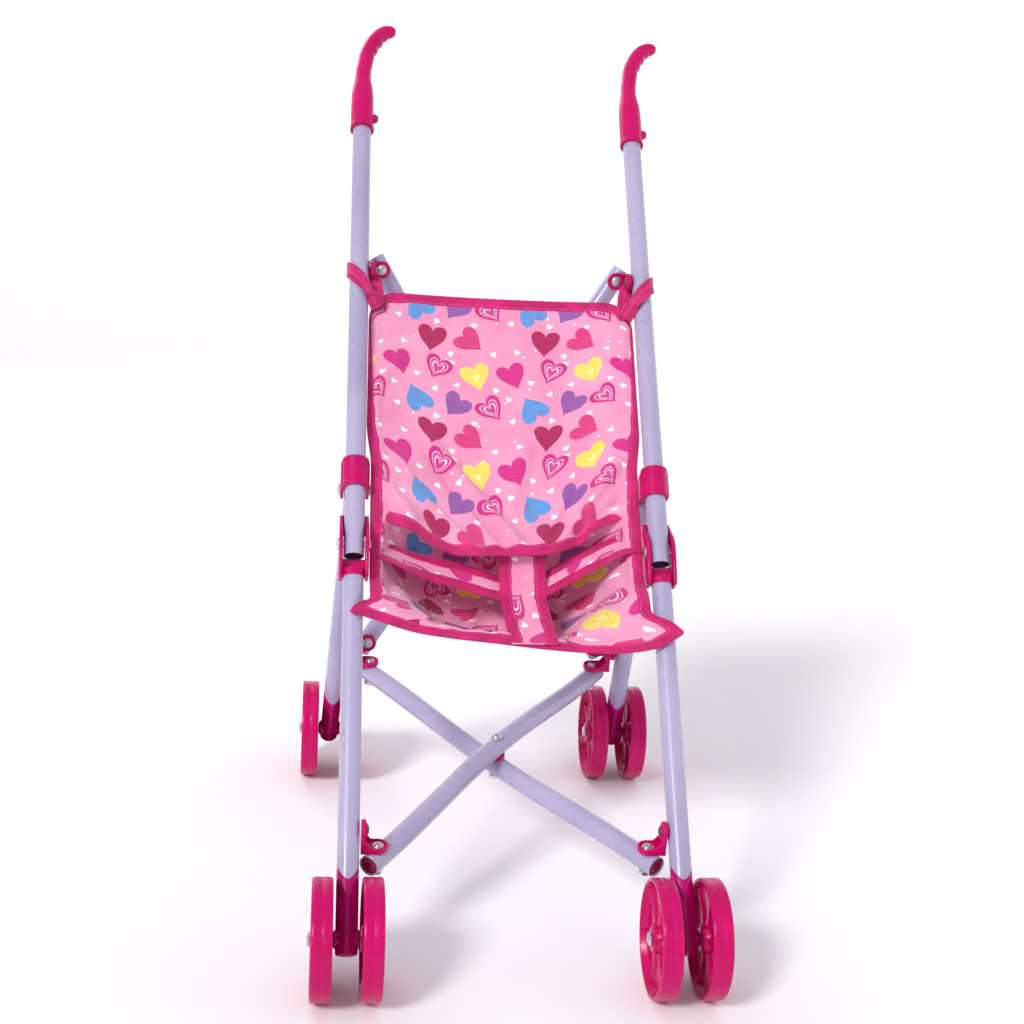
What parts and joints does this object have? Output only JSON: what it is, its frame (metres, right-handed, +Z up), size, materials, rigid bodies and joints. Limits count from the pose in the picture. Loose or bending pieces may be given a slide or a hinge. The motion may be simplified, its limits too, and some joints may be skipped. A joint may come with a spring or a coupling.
{
  "type": "doll stroller",
  "caption": "Toy umbrella-fold stroller: white tube frame, twin pink wheels, hooked grips, scissor crosses and a printed fabric seat with a lap belt.",
  "frame": {"origin": "on the ground, under the middle of the whole stroller", "axes": "+Z up, +Y to the rear where the handles are, +X to the right-hand side seen from the front"},
  "size_m": [0.2808, 0.4998, 0.5875],
  "materials": {
    "frame_paint": "gloss white with a lavender cast",
    "pink_plastic": "moulded hot pink",
    "dark_plastic": "moulded dark pink",
    "steel": "zinc plated",
    "printed_fabric": "woven polyester with a heart print",
    "binding_fabric": "woven edge tape"
  },
  "bodies": {
    "handle_left": {"handle_tube_left": "frame_paint", "grip_left": "pink_plastic", "grip_screw_left": "steel", "collar_left": "pink_plastic", "collar_pin_left": "steel", "strap_loop_left": "binding_fabric", "backrest": "printed_fabric"},
    "front_leg_left": {"front_leg_left": "frame_paint", "foot_plug_front_left": "pink_plastic", "axle_front_left": "steel", "elbow_bracket_left": "pink_plastic", "elbow_pin_left": "steel"},
    "rear_leg_left": {"rear_leg_left": "frame_paint", "foot_plug_rear_left": "pink_plastic", "axle_rear_left": "steel"},
    "back_bracket_left": {"back_upper_bracket_left": "pink_plastic"},
    "back_bar_under": {"back_bar_under": "frame_paint"},
    "back_bar_over": {"back_bar_over": "frame_paint", "back_centre_bolt": "steel"},
    "back_bracket_right": {"back_upper_bracket_right": "pink_plastic"},
    "handle_right": {"handle_tube_right": "frame_paint", "grip_right": "pink_plastic", "grip_screw_right": "steel", "collar_right": "pink_plastic", "collar_pin_right": "steel", "strap_loop_right": "binding_fabric"},
    "front_leg_right": {"front_leg_right": "frame_paint", "foot_plug_front_right": "pink_plastic", "axle_front_right": "steel", "elbow_bracket_right": "pink_plastic", "elbow_pin_right": "steel"},
    "rear_leg_right": {"rear_leg_right": "frame_paint", "foot_plug_rear_right": "pink_plastic", "axle_rear_right": "steel"},
    "back_lower_bracket_left": {"back_lower_bracket_left": "pink_plastic"},
    "back_lower_bracket_right": {"back_lower_bracket_right": "pink_plastic"},
    "seat_bracket_left": {"seat_front_bracket_left": "pink_plastic"},
    "seat_bar_over": {"seat_bar_over": "frame_paint", "seat_bar_plug_left": "dark_plastic", "seat_centre_bolt": "steel"},
    "seat_bar_under": {"seat_bar_under": "frame_paint", "seat_bar_plug_right": "dark_plastic"},
    "seat_bracket_right": {"seat_front_bracket_right": "pink_plastic"},
    "seat_rear_bracket_left": {"seat_rear_bracket_left": "pink_plastic"},
    "seat_rear_bracket_right": {"seat_rear_bracket_right": "pink_plastic"},
    "seat_sling": {"seat": "printed_fabric", "lap_belt": "binding_fabric", "crotch_strap": "printed_fabric"},
    "wheel_front_left_outer": {"wheel_front_left_outer": "pink_plastic"},
    "wheel_front_left_inner": {"wheel_front_left_inner": "pink_plastic"},
    "wheel_front_right_outer": {"wheel_front_right_outer": "pink_plastic"},
    "wheel_front_right_inner": {"wheel_front_right_inner": "pink_plastic"},
    "wheel_rear_left_outer": {"wheel_rear_left_outer": "pink_plastic"},
    "wheel_rear_left_inner": {"wheel_rear_left_inner": "pink_plastic"},
    "wheel_rear_right_outer": {"wheel_rear_right_outer": "pink_plastic"},
    "wheel_rear_right_inner": {"wheel_rear_right_inner": "pink_plastic"}
  },
  "joints": [
    {"name": "frame_fold", "type": "hinge", "parent": "handle_left", "child": "front_leg_left", "pos_m": [-0.106, -0.04272, 0.23974], "axis": [-1, 0, 0], "range_deg": [0, 136.06], "deforming": ["seat", "backrest", "lap_belt", "crotch_strap"]},
    {"name": "rear_fold_left", "type": "hinge", "parent": "handle_left", "child": "rear_leg_left", "pos_m": [-0.106, 0.00397, 0.26582], "axis": [-1, 0, 0], "range_deg": [0, 66.02]},
    {"name": "back_tilt_left", "type": "hinge", "parent": "handle_left", "child": "back_bracket_left", "pos_m": [-0.106, 0.09998, 0.4098], "axis": [-1, 0, 0], "range_deg": [0, 31.6]},
    {"name": "back_scissor_left", "type": "hinge", "parent": "back_bracket_left", "child": "back_bar_under", "pos_m": [-0.089, 0.1218, 0.40796], "axis": [0, -0.9965, 0.0841], "range_deg": [-21.01, 0]},
    {"name": "back_scissor_centre", "type": "hinge", "parent": "back_bar_under", "child": "back_bar_over", "pos_m": [0, 0.10969, 0.26447], "axis": [0, -0.9965, 0.0841], "range_deg": [0, 42]},
    {"name": "back_scissor_right", "type": "hinge", "parent": "back_bar_over", "child": "back_bracket_right", "pos_m": [0.089, 0.1218, 0.40796], "axis": [0, -0.9965, 0.0841], "range_deg": [-21.01, 0]},
    {"name": "back_tilt_right", "type": "hinge", "parent": "back_bracket_right", "child": "handle_right", "pos_m": [0.106, 0.09998, 0.4098], "axis": [-1, 0, 0], "range_deg": [-31.6, 0]},
    {"name": "front_fold_right", "type": "hinge", "parent": "handle_right", "child": "front_leg_right", "pos_m": [0.106, -0.04272, 0.23974], "axis": [-1, 0, 0], "range_deg": [0, 136.08]},
    {"name": "rear_fold_right", "type": "hinge", "parent": "handle_right", "child": "rear_leg_right", "pos_m": [0.106, 0.00397, 0.26582], "axis": [-1, 0, 0], "range_deg": [0, 66.02]},
    {"name": "back_lower_left", "type": "hinge", "parent": "back_bar_over", "child": "back_lower_bracket_left", "pos_m": [-0.089, 0.09757, 0.12099], "axis": [0, -0.9965, 0.0841], "range_deg": [-21.01, 0]},
    {"name": "back_lower_right", "type": "hinge", "parent": "back_bar_under", "child": "back_lower_bracket_right", "pos_m": [0.089, 0.09757, 0.12099], "axis": [0, -0.9965, 0.0841], "range_deg": [0, 21.01]},
    {"name": "seat_tilt_left", "type": "hinge", "parent": "front_leg_left", "child": "seat_bracket_left", "pos_m": [-0.106, -0.16871, 0.08959], "axis": [-1, 0, 0], "range_deg": [-30.32, 0]},
    {"name": "seat_scissor_left", "type": "hinge", "parent": "seat_bracket_left", "child": "seat_bar_over", "pos_m": [-0.087, -0.16576, 0.06789], "axis": [0, -0.1347, 0.9909], "range_deg": [0, 23.94]},
    {"name": "seat_scissor_centre", "type": "hinge", "parent": "seat_bar_over", "child": "seat_bar_under", "pos_m": [0, -0.04353, 0.08451], "axis": [0, -0.1347, 0.9909], "range_deg": [-47.86, 0]},
    {"name": "seat_scissor_right", "type": "hinge", "parent": "seat_bar_under", "child": "seat_bracket_right", "pos_m": [0.087, -0.16576, 0.06789], "axis": [0, -0.1347, 0.9909], "range_deg": [0, 23.94]},
    {"name": "seat_rear_left", "type": "hinge", "parent": "seat_bar_under", "child": "seat_rear_bracket_left", "pos_m": [-0.087, 0.0787, 0.10113], "axis": [0, -0.1347, 0.9909], "range_deg": [0, 23.94]},
    {"name": "seat_rear_right", "type": "hinge", "parent": "seat_bar_over", "child": "seat_rear_bracket_right", "pos_m": [0.087, 0.0787, 0.10113], "axis": [0, -0.1347, 0.9909], "range_deg": [-23.94, 0]},
    {"name": "seat_lift", "type": "hinge", "parent": "handle_left", "child": "seat_sling", "pos_m": [0, 0.00115, 0.22668], "axis": [-1, 0, 0], "range_deg": [0, 86.26]},
    {"name": "wheel_front_left_outer_spin", "type": "hinge", "parent": "front_leg_left", "child": "wheel_front_left_outer", "pos_m": [-0.1215, -0.21242, 0.0375], "axis": [1, 0, 0], "continuous": true},
    {"name": "wheel_front_left_inner_spin", "type": "hinge", "parent": "front_leg_left", "child": "wheel_front_left_inner", "pos_m": [-0.0905, -0.21242, 0.0375], "axis": [1, 0, 0], "continuous": true},
    {"name": "wheel_front_right_outer_spin", "type": "hinge", "parent": "front_leg_right", "child": "wheel_front_right_outer", "pos_m": [0.1215, -0.21242, 0.0375], "axis": [1, 0, 0], "continuous": true},
    {"name": "wheel_front_right_inner_spin", "type": "hinge", "parent": "front_leg_right", "child": "wheel_front_right_inner", "pos_m": [0.0905, -0.21242, 0.0375], "axis": [1, 0, 0], "continuous": true},
    {"name": "wheel_rear_left_outer_spin", "type": "hinge", "parent": "rear_leg_left", "child": "wheel_rear_left_outer", "pos_m": [-0.1315, 0.11858, 0.0375], "axis": [1, 0, 0], "continuous": true},
    {"name": "wheel_rear_left_inner_spin", "type": "hinge", "parent": "rear_leg_left", "child": "wheel_rear_left_inner", "pos_m": [-0.1005, 0.11858, 0.0375], "axis": [1, 0, 0], "continuous": true},
    {"name": "wheel_rear_right_outer_spin", "type": "hinge", "parent": "rear_leg_right", "child": "wheel_rear_right_outer", "pos_m": [0.1315, 0.11858, 0.0375], "axis": [1, 0, 0], "continuous": true},
    {"name": "wheel_rear_right_inner_spin", "type": "hinge", "parent": "rear_leg_right", "child": "wheel_rear_right_inner", "pos_m": [0.1005, 0.11858, 0.0375], "axis": [1, 0, 0], "continuous": true}
  ],
  "couplings": [
    {"joint": "rear_fold_left", "follows": "frame_fold", "ratio": 0.48509},
    {"joint": "back_tilt_left", "follows": "frame_fold", "ratio": 0.23214},
    {"joint": "back_scissor_left", "follows": "frame_fold", "ratio": -0.15429},
    {"joint": "back_scissor_centre", "follows": "frame_fold", "ratio": 0.30858},
    {"joint": "back_scissor_right", "follows": "frame_fold", "ratio": -0.15429},
    {"joint": "back_tilt_right", "follows": "frame_fold", "ratio": -0.23214},
    {"joint": "front_fold_right", "follows": "frame_fold", "ratio": 1},
    {"joint": "rear_fold_right", "follows": "frame_fold", "ratio": 0.48509},
    {"joint": "back_lower_left", "follows": "frame_fold", "ratio": -0.15429},
    {"joint": "back_lower_right", "follows": "frame_fold", "ratio": 0.15429},
    {"joint": "seat_tilt_left", "follows": "frame_fold", "ratio": -0.22272},
    {"joint": "seat_scissor_left", "follows": "frame_fold", "ratio": 0.17582},
    {"joint": "seat_scissor_centre", "follows": "frame_fold", "ratio": -0.35164},
    {"joint": "seat_scissor_right", "follows": "frame_fold", "ratio": 0.17582},
    {"joint": "seat_rear_left", "follows": "frame_fold", "ratio": 0.17582},
    {"joint": "seat_rear_right", "follows": "frame_fold", "ratio": -0.17582},
    {"joint": "seat_lift", "follows": "frame_fold", "ratio": 0.63383}
  ]
}
